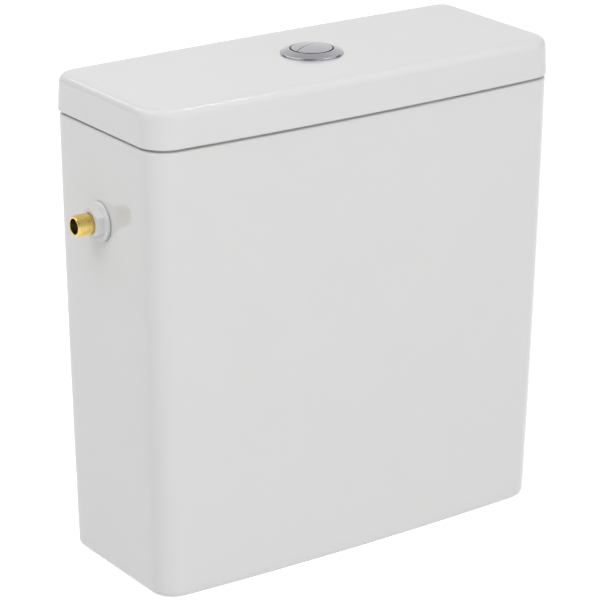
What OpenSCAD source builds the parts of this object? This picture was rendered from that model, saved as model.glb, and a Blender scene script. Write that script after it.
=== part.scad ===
// Close-coupled toilet cistern with a lift-off lid, a twin push button, a two-stage flush valve,
// a side-entry fill valve and its coupling hardware. Millimetres, +Z up, front towards -Y.
// The origin lies on the outlet axis in the plane of the bottom rim.

/* [Tank] */
// Height of the tank from its bottom rim to its top edge
tank_h = 363.2; // [330:0.2:400]
// How far each side draws in from the top edge to the bottom rim
side_taper = 6; // [0:0.5:10]
// How far the front draws in from the top edge to the bottom rim
front_taper = 8; // [0:0.5:10]
// Outward swell of the front and sides at mid height
wall_swell = 0.8; // [0:0.1:2]
// Radius of the edge between the walls and the bottom rim
bottom_edge_r = 5.7; // [2:0.1:8]
// Radius of the tank's top outer edge
mouth_edge_r = 1.6; // [0.5:0.1:3]
// Thickness of the ceramic walls
wall = 9; // [7:0.5:12]
// Thickness of the tank floor
floor_t = 11; // [8:0.5:15]
// Height of the hollow under the floor
skirt_h = 36; // [30:1:45]
// Thickness of the skirt round the hollow under the floor
skirt_t = 12; // [9:0.5:16]
// Radius between the floor and the walls inside the tank
floor_fillet_r = 10; // [4:0.5:16]
// Radius between the floor and the skirt under the tank
recess_fillet_r = 4; // [2:0.5:5]

/* [Lid] */
// Width of the lid, the widest part of the ceramic
lid_w = 375; // [350:1:400]
// Depth of the lid at its centre
lid_d = 151.5; // [146:0.5:170]
// Height of the lid at its ends
lid_h = 28.9; // [24:0.1:36]
// Rise of the lid's top at the centre above its ends
lid_crown = 0.9; // [0:0.1:3]
// How much narrower each side of the lid is at the top than at the bottom
lid_draft = 1.2; // [0:0.1:3]
// How far the lid stands proud of the tank
lid_overhang = 1.15; // [0:0.05:4]
// How far the middle of the front bows out
front_bow = 4.5; // [1:0.5:8]
// Radius of the front corners
front_corner_r = 21.7; // [16:0.1:28]
// Radius of the back corners
back_corner_r = 13.9; // [11:0.1:20]
// Radius of the lid's top edge
lid_edge_r = 6; // [3:0.1:9]
// Radius of the lid's bottom edge
lid_foot_r = 1.2; // [0.4:0.1:2]
// Thickness of the lid's top
lid_top_t = 10; // [8:0.5:13]
// Depth of the lip that locates the lid in the tank's mouth
lip_h = 7; // [4:0.5:12]
// Thickness of the locating lip
lip_t = 7; // [5:0.5:10]
// Clearance between the locating lip and the tank wall
lip_gap = 2; // [1:0.1:4]

/* [Push buttons] */
// Outside diameter of the bezel
bezel_d = 49; // [47:0.2:54]
// Height of the bezel's inner ring above the lid
bezel_h = 4; // [2.5:0.1:5]
// Height of the bezel's outer rim above the lid
bezel_rim_h = 1.3; // [0.8:0.1:2]
// Diameter of the pair of buttons
button_d = 32.2; // [30:0.2:36]
// Height of a button's side
button_h = 12; // [10:0.5:14]
// Height of the buttons' edge above the bezel's inner ring
button_proud = 0.4; // [0:0.1:1]
// Rise of the buttons' shallow dome
button_dome = 0.8; // [0.2:0.1:2]
// Travel of a button
button_travel = 8; // [5:0.5:10]
// Direction of the half-flush button from the centre, in degrees from +X
split_turn = 110; // [80:1:140]
// Distance of the split between the buttons from the centre
split_offset = 5; // [4:0.1:7]
// Radius of the curved split
split_r = 50; // [40:1:120]
// Width of the split between the buttons
split_gap = 0.8; // [0.6:0.1:1.2]
// Gap between the buttons and the bezel
button_gap = 0.95; // [0.3:0.05:1.2]
// Wall of the bezel's shank
shank_wall = 1.5; // [1.2:0.1:2]
// Length of the bezel's shank below the lid's top
shank_len = 30; // [26:0.5:36]
// Thickness of the floor inside the shank
shank_floor_t = 2; // [1.5:0.1:3]
// Thickness of the gasket under the lid
gasket_t = 1.5; // [1:0.1:2]
// Height of the nut under the lid
bezel_nut_h = 7.5; // [6:0.5:9]
// Distance across the flats of the nut under the lid
bezel_nut_af = 52; // [48:0.5:56]
// Diameter of a push rod
rod_d = 5; // [4:0.1:5.4]
// Diameter of a push rod's foot
rod_foot_d = 8; // [6.5:0.1:8.2]
// Depth of a push rod's seat in its button
rod_seat = 5.5; // [4:0.5:7]
// Mean diameter of a return spring
spring_d = 7.4; // [7:0.1:7.8]
// Diameter of the spring wire
wire_d = 0.8; // [0.6:0.1:1]
// Number of curls of a return spring
curls = 6; // [4:1:8]

/* [Outlet] */
// Outside diameter of the outlet tail's thread
tail_d = 59.6; // [56:0.2:62]
// Bore of the outlet tail
tail_bore_d = 51; // [46:0.5:52]
// Diameter of the plain end of the tail
tail_end_d = 57; // [54:0.2:57.4]
// Length of the plain end of the tail
tail_end_len = 8; // [6:0.5:10]
// Height of the tail's end above the bottom rim
tail_clear = 2; // [1:0.1:2.5]
// Diameter of the outlet hole in the floor
outlet_hole_d = 64; // [62.4:0.2:70]
// Distance across the flats of the outlet nut
backnut_af = 72; // [69:0.5:76]
// Height of the outlet nut
backnut_h = 14; // [10:0.5:16]
// Outside diameter of the soft ring between the cistern and the pan
doughnut_d = 102; // [96:0.5:104]
// Height of the soft ring between the cistern and the pan
doughnut_h = 26; // [20:0.5:28]
// Thickness of the washer between the flush valve and the floor
base_seal_t = 3; // [2:0.5:4]

/* [Coupling bolts] */
// Distance between the two coupling bolts
bolt_spacing = 155; // [145:1:180]
// Thread diameter of a coupling bolt
bolt_d = 8; // [6:0.5:10]
// Diameter of a bolt's shank above its free thread
bolt_neck_d = 7.5; // [5:0.1:7.6]
// Diameter of a bolt's hole in the floor
bolt_hole_d = 12; // [11:0.5:16]
// Diameter of a bolt's head
bolt_head_d = 20; // [16:0.5:24]
// Height of a bolt's head
bolt_head_h = 5; // [4:0.5:7]
// Height of a bolt's end above the bottom rim
bolt_clear = 5; // [2:0.5:8]
// Diameter of a bolt's rubber washer
bolt_seal_d = 26; // [20:0.5:28]
// Thickness of a bolt's rubber washer
bolt_seal_t = 4; // [3:0.5:5]
// Diameter of a bolt's steel washer
bolt_washer_d = 24; // [20:0.5:26]
// Thickness of a bolt's steel washer
bolt_washer_t = 1.8; // [1:0.1:2.5]
// Distance across the flats of a coupling nut
bolt_nut_af = 13; // [12:0.5:15]
// Height of a coupling nut
bolt_nut_h = 6.5; // [5:0.5:8]

/* [Flush valve] */
// Diameter of the valve base's flange
base_flange_d = 84; // [80:1:90]
// Thickness of the valve base's flange
base_flange_t = 4; // [3:0.5:6]
// Height of the valve seat above the flange
seat_h = 6; // [4:0.5:8]
// Height of the open cage above the flange
cage_h = 40; // [34:1:50]
// Number of posts in the cage
cage_posts = 6; // [4:1:8]
// Diameter of the valve tower
tower_d = 73; // [71:0.5:76]
// Wall of the valve tower
tower_wall = 3; // [2:0.5:3.5]
// Height of the valve tower
tower_h = 137; // [125:1:150]
// Thickness of the plate on top of the tower
head_t = 4; // [3:0.5:6]
// Thickness of the flush valve's seals
seal_t = 3; // [2:0.5:4]
// Diameter of the main seal
main_seal_d = 62; // [60:0.5:64]
// Outside diameter of the lifting sleeve
sleeve_d = 39; // [38:0.2:40]
// Wall of the lifting sleeve
sleeve_wall = 2.5; // [2:0.1:3]
// Height of the lifting sleeve above the main seal, which sets the half-flush volume
sleeve_h = 87; // [75:1:100]
// Width of the sleeve's two straps
strap_w = 8; // [6:0.5:9]
// Thickness of the sleeve's two straps
strap_t = 2.5; // [2:0.1:3]
// Outside diameter of the overflow tube
overflow_d = 26; // [24:0.2:27]
// Wall of the overflow tube
overflow_wall = 2; // [1.5:0.1:2.5]
// Height of the overflow tube above the tower
overflow_rise = 22; // [20:1:24]
// Thickness of the lifting yokes
yoke_t = 4; // [3:0.5:5]
// Width of the lifting yokes' arms
yoke_w = 8; // [6:0.5:8.4]

/* [Levers] */
// Height of the lever pivots above the head plate
pivot_rise = 50; // [46:0.5:56]
// Length of each arm of the full-flush lever
full_arm = 20; // [19:0.5:23]
// Length of each arm of the half-flush lever
half_arm = 16; // [15:0.5:19]
// Width of a lever
lever_w = 9; // [7:0.5:9.4]
// Radius of a lever's rounded ends
lever_nose_r = 3; // [2.5:0.1:3.5]
// Thickness of a lever's arms
lever_t = 4; // [3:0.1:4.4]
// Radius of a lever's hub
lever_hub_r = 5.5; // [4.5:0.1:6]
// Thickness of the cheeks that carry the lever pins
cheek_t = 3; // [2.5:0.1:4]
// Diameter of a lever pin
lever_pin_d = 4; // [3:0.1:5]

/* [Inlet] */
// Distance of the inlet behind the outlet axis
inlet_y = 9.6; // [-5:0.1:15]
// Height of the inlet above the bottom rim
inlet_z = 290; // [280:0.5:305]
// Outside diameter of the brass thread
inlet_d = 16.66; // [15:0.02:18]
// Diameter of the brass shank behind the free thread
inlet_neck_d = 16.2; // [14:0.1:16.3]
// Bore of the brass tail
inlet_bore_d = 12; // [9:0.2:12.6]
// Length of the brass tail outside the wall
inlet_len = 23.5; // [20:0.5:30]
// Chamfer at the end of the brass tail
inlet_chamfer = 1; // [0.5:0.1:1.5]
// Diameter of the inlet hole in the wall
inlet_hole_d = 18; // [17:0.2:22]
// Diameter of the inlet nut's flange
inlet_flange_d = 31; // [28:0.5:34]
// Thickness of the inlet nut's flange
inlet_flange_t = 3.4; // [1.5:0.1:4]
// Distance across the flats of the inlet nut
inlet_nut_af = 22; // [21:0.5:26]
// Height of the inlet nut, flange included
inlet_nut_h = 10; // [8:0.5:14]
// Thickness of the washer inside the wall
inlet_washer_t = 3; // [2:0.5:4]
// Thickness of the brass shoulder inside the wall
inlet_shoulder_t = 4; // [3:0.5:6]
// Diameter of the brass shoulder inside the wall
inlet_shoulder_d = 28; // [24:0.5:32]
// Diameter of the brass spigot in the fill valve
inlet_spigot_d = 17; // [14:0.2:18]
// Length of the brass spigot in the fill valve
inlet_spigot_len = 10; // [8:0.5:14]

/* [Fill valve] */
// Diameter of the fill valve's barrel
barrel_d = 25; // [23:0.5:28]
// Length of the fill valve's barrel
barrel_len = 52; // [48:1:60]
// Waterway through the barrel
waterway_d = 11; // [8:0.5:12]
// Diameter of the fill valve's head
fill_head_d = 34; // [30:0.5:38]
// Thickness of the head's flange
fill_flange_t = 4.5; // [3:0.5:6]
// Thickness of the diaphragm
diaphragm_t = 1.5; // [1:0.1:2]
// Length of the fill valve's cap
fill_cap_len = 18; // [15:0.5:22]
// Distance of the discharge tube from the barrel's inner end
discharge_offset = 22; // [20:0.5:26]
// Outside diameter of the discharge tube
discharge_d = 16; // [14:0.2:18]
// Wall of the discharge tube
discharge_wall = 2.5; // [1.5:0.1:3]
// Length of the discharge tube below its socket
discharge_len = 168; // [150:1:180]
// Depth of the discharge tube's socket below the inlet axis
socket_drop = 23.5; // [20:0.5:26]
// Depth to which the discharge tube enters its socket
socket_depth = 10; // [6:0.5:10]
// Distance of the float's lower stop below the inlet axis
float_drop = 137.5; // [130:0.5:145]
// Outside diameter of the float
float_d = 44; // [40:0.5:46]
// Height of the float
float_h = 60; // [50:1:64]
// Wall of the float
float_wall = 2; // [1.5:0.1:3]
// Travel of the float
float_travel = 20; // [12:0.5:22]
// Length of the float arm
float_arm_len = 36; // [34:0.5:40]
// Thickness of the float arm
float_arm_t = 6; // [5:0.2:7]
// Width of the float arm
float_arm_w = 8; // [6:0.5:8.4]
// Distance of the float arm's pivot below the inlet axis
arm_pivot_drop = 33.5; // [32:0.5:36]
// Distance of the float arm's pivot from the cap's end
arm_pivot_out = 6; // [5:0.5:8]
// Diameter of the float arm's pin
arm_pin_d = 3; // [2.5:0.1:3.5]
// Distance of the pilot seal from the float arm's pivot
pilot_out = 14; // [12:0.5:16]
// Thickness of the pilot seal
pilot_t = 1.5; // [1:0.1:2]

/* [Clearances] */
// Clearance of a turning fit, on the radius
pin_gap = 0.05; // [0.02:0.01:0.1]
// Clearance of a plug-in or screwed fit, on the radius
plug_gap = 0.05; // [0.02:0.01:0.1]
// Clearance between pieces that slide past each other
slide_gap = 0.4; // [0.3:0.05:0.6]
// Clearance between a lever and what it pushes
push_gap = 0.4; // [0.3:0.05:0.5]
// Clearance at each side of a lever or arm between its cheeks
side_gap = 0.7; // [0.4:0.05:1]
// Clearance between the bezel's shank and the hole in the lid
hole_gap = 0.6; // [0.4:0.1:1]
// Clearance between a resting seal and its seat
seal_gap = 0.02; // [0.01:0.01:0.05]

/* [Hidden] */
$fn = 96;
eps = 0.5;
corner_steps = 7;
front_steps = 10;
edge_steps = 3;
wall_steps = 6;
least_corner_r = 3;
spot_margin = 1.5;
plate_edge = 0.3;
pin_out = 1;

// Ceramic levels
floor_top = skirt_h + floor_t;
lid_edge_z = tank_h + lid_h;
lid_top_z = lid_edge_z + lid_crown;
lid_under_z = lid_edge_z - lid_top_t;
lip_inset = lid_overhang + wall + lip_gap;
lid_half_w = lid_w / 2;
bow_span = lid_half_w - front_corner_r;
bow_r = (bow_span * bow_span + front_bow * front_bow) / (2 * front_bow);

// Push buttons, in the frame turned so that the half-flush button lies towards +Y
valve_turn = split_turn - 90;
button_r = button_d / 2;
bezel_bore_r = button_r + button_gap;
shank_r = bezel_bore_r + shank_wall;
lid_hole_r = shank_r + hole_gap;
button_edge_z = lid_top_z + bezel_h + button_proud;
button_low_z = button_edge_z - button_h;
shank_low_z = lid_top_z - shank_len;
shank_floor_z = shank_low_z + shank_floor_t;
full_rod_y = (split_offset - button_r) / 2;
half_rod_y = (split_offset + button_r) / 2;

// Flush valve levels
tail_r = tail_d / 2;
base_z = floor_top + base_seal_t;
flange_z = base_z + base_flange_t;
seat_z = flange_z + seat_h;
cage_z = flange_z + cage_h;
cage_ring_h = 5;
cage_r = base_flange_d / 2 - 1;
tower_z = cage_z + cage_ring_h;
head_z = tower_z + tower_h;
head_top_z = head_z + head_t;
sleeve_z = seat_z + seal_gap + seal_t;
sleeve_top_z = sleeve_z + sleeve_h;
sleeve_r = sleeve_d / 2;
overflow_r = overflow_d / 2;
overflow_top_z = head_top_z + overflow_rise;
sleeve_bore_r = sleeve_r - sleeve_wall;
sleeve_nose_r = sleeve_bore_r + sleeve_wall / 2;
half_seal_r = sleeve_r - plate_edge;
strap_in = sleeve_r + slide_gap;
strap_out = strap_in + strap_t;
yoke_room = 3;
full_yoke_z = head_top_z + yoke_room;
half_yoke_z = full_yoke_z + yoke_t + yoke_room;
yoke_bore_r = overflow_r + 1.5;
yoke_wall = 4;

// Levers
pivot_z = head_top_z + pivot_rise;
full_tilt = asin(button_travel / 2 / full_arm);
half_tilt = asin(button_travel / 2 / half_arm);
full_pivot_y = full_rod_y - full_arm;
half_pivot_y = half_rod_y + half_arm;
lever_pin_r = lever_pin_d / 2;
cheek_in = lever_w / 2 + side_gap;
cheek_out = cheek_in + cheek_t;
cheek_half_w = 5;
rod_end_z = pivot_z + button_travel / 2 + lever_nose_r + push_gap;
hook_z = pivot_z - button_travel / 2 + lever_nose_r + push_gap;
hook_room = 2;

// Inlet and fill valve, with distances along -X from the outlet axis
inlet_seat = tank_half_w(inlet_z - inlet_flange_d / 2 - spot_margin);
inner_seat = tank_half_w(inlet_z + inlet_shoulder_d / 2 + spot_margin) - wall;
shoulder_out = inner_seat - inlet_washer_t;
shoulder_in = shoulder_out - inlet_shoulder_t;
barrel_end = shoulder_in - barrel_len;
flange_end = barrel_end - fill_flange_t;
cap_start = flange_end - diaphragm_t;
cap_end = cap_start - fill_cap_len;
discharge_x = -(barrel_end + discharge_offset);
socket_z = inlet_z - socket_drop;
socket_wall = 3;
socket_r = discharge_d / 2 + socket_wall;
float_z = inlet_z - float_drop;
arm_pivot_x = -(cap_end - arm_pivot_out);
arm_pivot_z = inlet_z - arm_pivot_drop;
arm_tilt = asin(float_travel / 2 / float_arm_len);
arm_cheek_in = float_arm_w / 2 + side_gap;
arm_cheek_t = 3;
link_x = arm_pivot_x - float_arm_len;
link_top_z = arm_pivot_z - float_travel / 2 - float_arm_t / 2 - push_gap;
pilot_r = 3.5;
pilot_high = (pilot_out + pilot_r) * sin(arm_tilt) + (float_arm_t / 2 + pilot_t) * cos(arm_tilt);

// Points of an arc about a centre, from angle a0 to a1
function arc(c, r, a0, a1, steps) =
  [for (i = [0:steps]) let(a = a0 + (a1 - a0) * i / steps) [c.x + r * cos(a), c.y + r * sin(a)]];

// Plan of the ceramic: bowed front, flat sides and back, round corners
// The corner radii shrink by how far the outline lies inside the lid's, and the rest is drawn in by inset
function plan(half_w, front_y, back_y, inside, inset) =
  let(
    w = half_w - inset,
    yf = front_y + inset,
    yb = back_y - inset,
    rf = max(front_corner_r - inside - inset, least_corner_r),
    rb = max(back_corner_r - inside - inset, least_corner_r),
    bow_y = yf + bow_r,
    reach = bow_r - rf,
    cy = bow_y - sqrt(reach * reach - (w - rf) * (w - rf)),
    a = atan2(cy - bow_y, w - rf),
    front = arc([0, bow_y], bow_r, -180 - a, a, front_steps)
  )
  concat(
    arc([w - rf, cy], rf, a, 0, corner_steps),
    arc([w - rb, yb - rb], rb, 0, 90, corner_steps),
    arc([rb - w, yb - rb], rb, 90, 180, corner_steps),
    arc([rf - w, cy], rf, 180, 180 - a, corner_steps),
    [for (i = [1:front_steps - 1]) front[i]]
  );

// How far a tank wall has drawn in at height z, for the taper of that wall
function wall_drop(z, taper) =
  let(k = max(tank_h - z, 0) / tank_h) taper * k - wall_swell * 4 * k * (1 - k);

function tank_half_w(z) = lid_half_w - lid_overhang - wall_drop(z, side_taper);

function tank_ring(z, inset) =
  let(
    front_y = lid_overhang - lid_d / 2 + wall_drop(z, front_taper),
    back_y = lid_d / 2 - lid_overhang
  )
  [for (p = plan(tank_half_w(z), front_y, back_y, lid_overhang, inset)) [p.x, p.y, z]];

// One ring of the lid: drawn in by the draft and the inset, raised by the crown, shrunk towards the centre
function lid_ring(z, inset, crown, shrink = 1) =
  let(draw = lid_draft * max(z - tank_h, 0) / lid_h)
  [for (p = plan(lid_half_w - draw, draw - lid_d / 2, lid_d / 2 - draw, 0, inset))
    [p.x * shrink, p.y * shrink, z + crown * (1 - pow(p.x * shrink / lid_half_w, 2))]];

// Rounded-edge steps, as [share of the radius along the wall, share of the radius inwards]
function round_edge(steps) = [for (i = [0:steps]) let(a = 90 * i / steps) [1 - cos(a), 1 - sin(a)]];

tank_rings = concat(
  [for (e = round_edge(edge_steps)) tank_ring(bottom_edge_r * e[0], bottom_edge_r * e[1])],
  [for (i = [1:wall_steps - 1]) tank_ring(bottom_edge_r + (tank_h - bottom_edge_r) * i / wall_steps, 0)],
  [for (e = round_edge(edge_steps)) tank_ring(tank_h - mouth_edge_r * e[1], mouth_edge_r * e[0])]
);

cavity_rings = concat(
  [for (e = round_edge(edge_steps))
    tank_ring(floor_top + floor_fillet_r * e[0], wall + floor_fillet_r * e[1])],
  [for (i = [1:wall_steps])
    tank_ring(floor_top + floor_fillet_r + (tank_h - floor_top - floor_fillet_r) * i / wall_steps, wall)],
  [tank_ring(tank_h + eps, wall)]
);

recess_rings = concat(
  [tank_ring(-skirt_h, skirt_t)],
  [for (e = round_edge(edge_steps))
    tank_ring(skirt_h - recess_fillet_r * e[1], skirt_t + recess_fillet_r * e[0])]
);

lid_rings = concat(
  [for (e = round_edge(edge_steps)) lid_ring(tank_h + lid_foot_r * e[0], lid_foot_r * e[1], 0)],
  [for (e = round_edge(edge_steps + 2))
    lid_ring(lid_edge_z - lid_edge_r * e[1], lid_edge_r * e[0], lid_crown)],
  [for (shrink = [0.75, 0.5, 0.25, 0.05]) lid_ring(lid_edge_z, lid_edge_r, lid_crown, shrink)]
);

// Closed solid through a stack of rings, each counterclockwise from above, the lowest first
module loft(rings) {
  n = len(rings[0]);
  m = len(rings);
  polyhedron(
    points = [for (ring = rings) each ring],
    faces = concat(
      [[for (i = [0:n - 1]) i]],
      [[for (i = [n - 1:-1:0]) (m - 1) * n + i]],
      [for (j = [0:m - 2]) for (i = [0:n - 1]) let(a = j * n + i, b = j * n + (i + 1) % n)
        each [[a, a + n, b + n], [a, b + n, b]]]
    )
  );
}

module ring(r_out, r_in, z, h) {
  translate([0, 0, z])
    difference() {
      cylinder(r = r_out, h = h);
      translate([0, 0, -eps]) cylinder(r = r_in, h = h + 2 * eps);
    }
}

module hex(af, z, h) {
  translate([0, 0, z]) cylinder(d = af / cos(30), h = h, $fn = 6);
}

// The flush valve and the buttons share a frame turned about the outlet axis
module turned() {
  rotate(valve_turn) children();
}

// Pieces on the inlet axis are drawn along +Z and laid along -X
module on_inlet() {
  translate([0, inlet_y, inlet_z]) rotate([0, -90, 0]) children();
}

// A profile drawn in the YZ plane, thickened evenly to both sides of X = x
module upright(x, w) {
  translate([x, 0, 0]) rotate([90, 0, 90]) linear_extrude(w, center = true) children();
}

// A profile drawn in the XZ plane, thickened evenly to both sides of Y = y
module upright_x(y, w) {
  translate([0, y, 0]) rotate([90, 0, 0]) linear_extrude(w, center = true) children();
}

module at_bolts() {
  for (side = [-1, 1])
    translate([side * bolt_spacing / 2, 0, 0]) children();
}

module tank() {
  color("white")
    difference() {
      loft(tank_rings);
      loft(cavity_rings);
      loft(recess_rings);
      translate([0, 0, skirt_h - eps]) cylinder(d = outlet_hole_d, h = floor_t + 2 * eps);
      at_bolts() translate([0, 0, skirt_h - eps]) cylinder(d = bolt_hole_d, h = floor_t + 2 * eps);
      on_inlet() {
        translate([0, 0, inner_seat - wall]) cylinder(d = inlet_hole_d, h = 3 * wall);
        translate([0, 0, inlet_seat]) cylinder(d = inlet_flange_d + 2 * spot_margin, h = wall);
        translate([0, 0, inner_seat - wall]) cylinder(d = inlet_shoulder_d + 2 * spot_margin, h = wall);
      }
    }
}

module lid() {
  lip_z = tank_h - lip_h;
  lip_bevel = 1;
  hollow_inset = lip_inset + lip_t;
  color("white")
    difference() {
      union() {
        loft(lid_rings);
        loft([
          lid_ring(lip_z, lip_inset + lip_bevel, 0), lid_ring(lip_z + lip_bevel, lip_inset, 0),
          lid_ring(tank_h + lid_foot_r + lip_bevel, lip_inset, 0)
        ]);
      }
      loft([
        lid_ring(lip_z - lip_h, hollow_inset, 0), lid_ring(tank_h, hollow_inset, 0),
        lid_ring(lid_under_z - lip_t / 2, hollow_inset, 0),
        lid_ring(lid_under_z, hollow_inset + lip_t / 2, 0)
      ]);
      translate([0, 0, lid_under_z - eps]) cylinder(r = lid_hole_r, h = lid_top_t + lid_crown + 2 * eps);
    }
}

module bezel() {
  rim = bezel_d / 2;
  inner = bezel_bore_r;
  land = 1.2;
  rim_z = lid_top_z + bezel_rim_h;
  top_z = lid_top_z + bezel_h;
  color("silver") turned()
    difference() {
      rotate_extrude()
        polygon([
          [0, shank_low_z], [shank_r, shank_low_z], [shank_r, lid_top_z], [rim, lid_top_z],
          [rim, rim_z - plate_edge], [rim - plate_edge, rim_z], [rim - land, rim_z + plate_edge],
          [inner + land, top_z], [inner + plate_edge, top_z], [inner, top_z - plate_edge],
          [inner, shank_floor_z], [0, shank_floor_z]
        ]);
      for (y = [full_rod_y, half_rod_y])
        translate([0, y, shank_low_z - eps])
          cylinder(d = rod_d + 2 * slide_gap, h = shank_floor_t + 2 * eps);
    }
}

module bezel_gasket() {
  color("dimgray") ring(bezel_nut_af / 2, shank_r + plug_gap, lid_under_z - gasket_t, gasket_t);
}

module bezel_nut() {
  color("whitesmoke")
    difference() {
      hex(bezel_nut_af, lid_under_z - gasket_t - bezel_nut_h, bezel_nut_h);
      translate([0, 0, lid_under_z - gasket_t - bezel_nut_h - eps])
        cylinder(r = shank_r + plug_gap, h = bezel_nut_h + 2 * eps);
    }
}

// The round pair of buttons before the split, with a shallow dome and a small edge chamfer
module button_blank() {
  chamfer = 0.5;
  steps = 6;
  dome = [for (i = [0:steps]) let(k = i / steps)
    [(button_r - chamfer) * (1 - k), button_edge_z + button_dome * k * (2 - k)]];
  rotate_extrude()
    polygon(concat(
      [[0, button_low_z], [button_r, button_low_z], [button_r, button_edge_z - chamfer]],
      dome
    ));
}

module split_cylinder(r) {
  translate([0, split_offset - split_r, button_low_z - eps])
    cylinder(r = r, h = button_h + button_dome + 2 * eps, $fn = 180);
}

module rod_seat_hole(y) {
  translate([0, y, button_low_z - eps]) cylinder(d = rod_d + 2 * plug_gap, h = rod_seat + eps);
}

module full_flush_button() {
  color("silver") turned()
    difference() {
      intersection() {
        button_blank();
        split_cylinder(split_r - split_gap / 2);
      }
      rod_seat_hole(full_rod_y);
    }
}

module half_flush_button() {
  color("silver") turned()
    difference() {
      button_blank();
      split_cylinder(split_r + split_gap / 2);
      rod_seat_hole(half_rod_y);
    }
}

// A rod screwed into its button, with a round foot over the lever
module push_rod(y) {
  foot_h = 3;
  turned() translate([0, y, 0])
    rotate_extrude()
      polygon([
        [0, rod_end_z], [rod_foot_d / 2, rod_end_z], [rod_foot_d / 2, rod_end_z + foot_h],
        [rod_d / 2, rod_end_z + foot_h], [rod_d / 2, button_low_z + rod_seat], [0, button_low_z + rod_seat]
      ]);
}

module full_push_rod() { color("whitesmoke") push_rod(full_rod_y); }

module half_push_rod() { color("whitesmoke") push_rod(half_rod_y); }

// Return spring: one helical tube between the shank's floor and the button
spring_end = wire_d / 2 + 0.1;
spring_low = shank_floor_z + spring_end;
spring_rise = button_low_z - spring_end - spring_low;
curl_steps = 8;
wire_sides = 6;

function coil_point(t) =
  [spring_d / 2 * cos(360 * t), spring_d / 2 * sin(360 * t), spring_low + spring_rise * t / curls];

function coil_ring(t) =
  let(
    pitch = spring_rise / curls / 360 * 180 / PI,
    out = [cos(360 * t), sin(360 * t), 0],
    along = [-spring_d / 2 * sin(360 * t), spring_d / 2 * cos(360 * t), pitch],
    side = cross(along / norm(along), out)
  )
  [for (i = [0:wire_sides - 1])
    coil_point(t) + wire_d / 2 * (out * cos(360 * i / wire_sides) - side * sin(360 * i / wire_sides))];

coil_centres = [for (i = [0:curls * curl_steps]) coil_point(i / curl_steps)];
coil_gap = min([for (i = [0:len(coil_centres) - 1]) for (j = [i + curl_steps / 2:len(coil_centres) - 1])
  norm(coil_centres[i] - coil_centres[j])]) - wire_d;
echo(least_gap_between_curls = coil_gap);

module button_spring(y) {
  turned() translate([0, y, 0])
    loft([for (i = [0:curls * curl_steps]) coil_ring(i / curl_steps)]);
}

module full_button_spring() { color("gray") button_spring(full_rod_y); }

module half_button_spring() { color("gray") button_spring(half_rod_y); }

// Threaded tail, flange, valve seat and open cage of the flush valve in one moulding
module valve_base() {
  bore = tail_bore_d / 2;
  post_t = 5;
  post_w = 6;
  seat_wall = 3;
  seat_bevel = 1;
  color("whitesmoke") turned() {
    rotate_extrude()
      polygon([
        [bore, tail_clear], [tail_end_d / 2, tail_clear], [tail_end_d / 2, tail_clear + tail_end_len],
        [tail_r, tail_clear + tail_end_len], [tail_r, base_z], [base_flange_d / 2, base_z],
        [base_flange_d / 2, flange_z], [tail_r + seat_bevel, flange_z], [bore + seat_wall, seat_z],
        [bore + seat_bevel, seat_z], [bore, seat_z - seat_bevel]
      ]);
    for (i = [0:cage_posts - 1])
      rotate(360 * (i + 0.5) / cage_posts)
        translate([cage_r - post_t, -post_w / 2, flange_z - eps])
          cube([post_t - plate_edge, post_w, cage_h + 2 * eps]);
    ring(cage_r, tower_d / 2 - tower_wall, cage_z, cage_ring_h);
  }
}

module base_seal() {
  color("dimgray") ring(base_flange_d / 2, tail_r + slide_gap, floor_top, base_seal_t);
}

module outlet_nut() {
  color("whitesmoke")
    difference() {
      hex(backnut_af, skirt_h - backnut_h, backnut_h);
      translate([0, 0, skirt_h - backnut_h - eps]) cylinder(r = tail_r + plug_gap, h = backnut_h + 2 * eps);
    }
}

// Soft ring that drops over the outlet nut and is squeezed against the pan
module pan_seal_ring() {
  low = skirt_h - doughnut_h;
  nut_low = skirt_h - backnut_h - slide_gap;
  nut_r = backnut_af / 2 / cos(30) + slide_gap;
  bevel = 5;
  edge = 2;
  color("dimgray")
    rotate_extrude()
      polygon([
        [tail_r + slide_gap, low], [doughnut_d / 2 - bevel, low], [doughnut_d / 2, low + bevel],
        [doughnut_d / 2, skirt_h - edge], [doughnut_d / 2 - edge, skirt_h], [nut_r, skirt_h],
        [nut_r, nut_low], [tail_r + slide_gap, nut_low]
      ]);
}

// Tower with rows of windows, on the cage's top ring
module valve_tower() {
  flange_h = 3;
  windows = 4;
  window_w = 22;
  window_rows = 2;
  window_rail = 12;
  window_pitch = (tower_h - window_rail) / window_rows;
  color("lightgray") turned()
    difference() {
      union() {
        ring(tower_d / 2, tower_d / 2 - tower_wall, tower_z, tower_h);
        ring(cage_r, tower_d / 2 - tower_wall, tower_z, flange_h);
      }
      for (row = [0:window_rows - 1])
        for (i = [0:windows - 1])
          rotate(360 * (i + 0.5) / windows)
            translate([0, -window_w / 2, tower_z + window_rail + window_pitch * row])
              cube([tower_d, window_w, window_pitch - window_rail]);
    }
}

// Cheek profile: a tapered post with a round top about the lever pin
module cheek_outline(y) {
  foot = cheek_half_w + 1.5;
  polygon([
    [y - foot, head_top_z - eps], [y + foot, head_top_z - eps],
    [y + cheek_half_w, pivot_z], [y - cheek_half_w, pivot_z]
  ]);
  translate([y, pivot_z]) circle(cheek_half_w);
}

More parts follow.
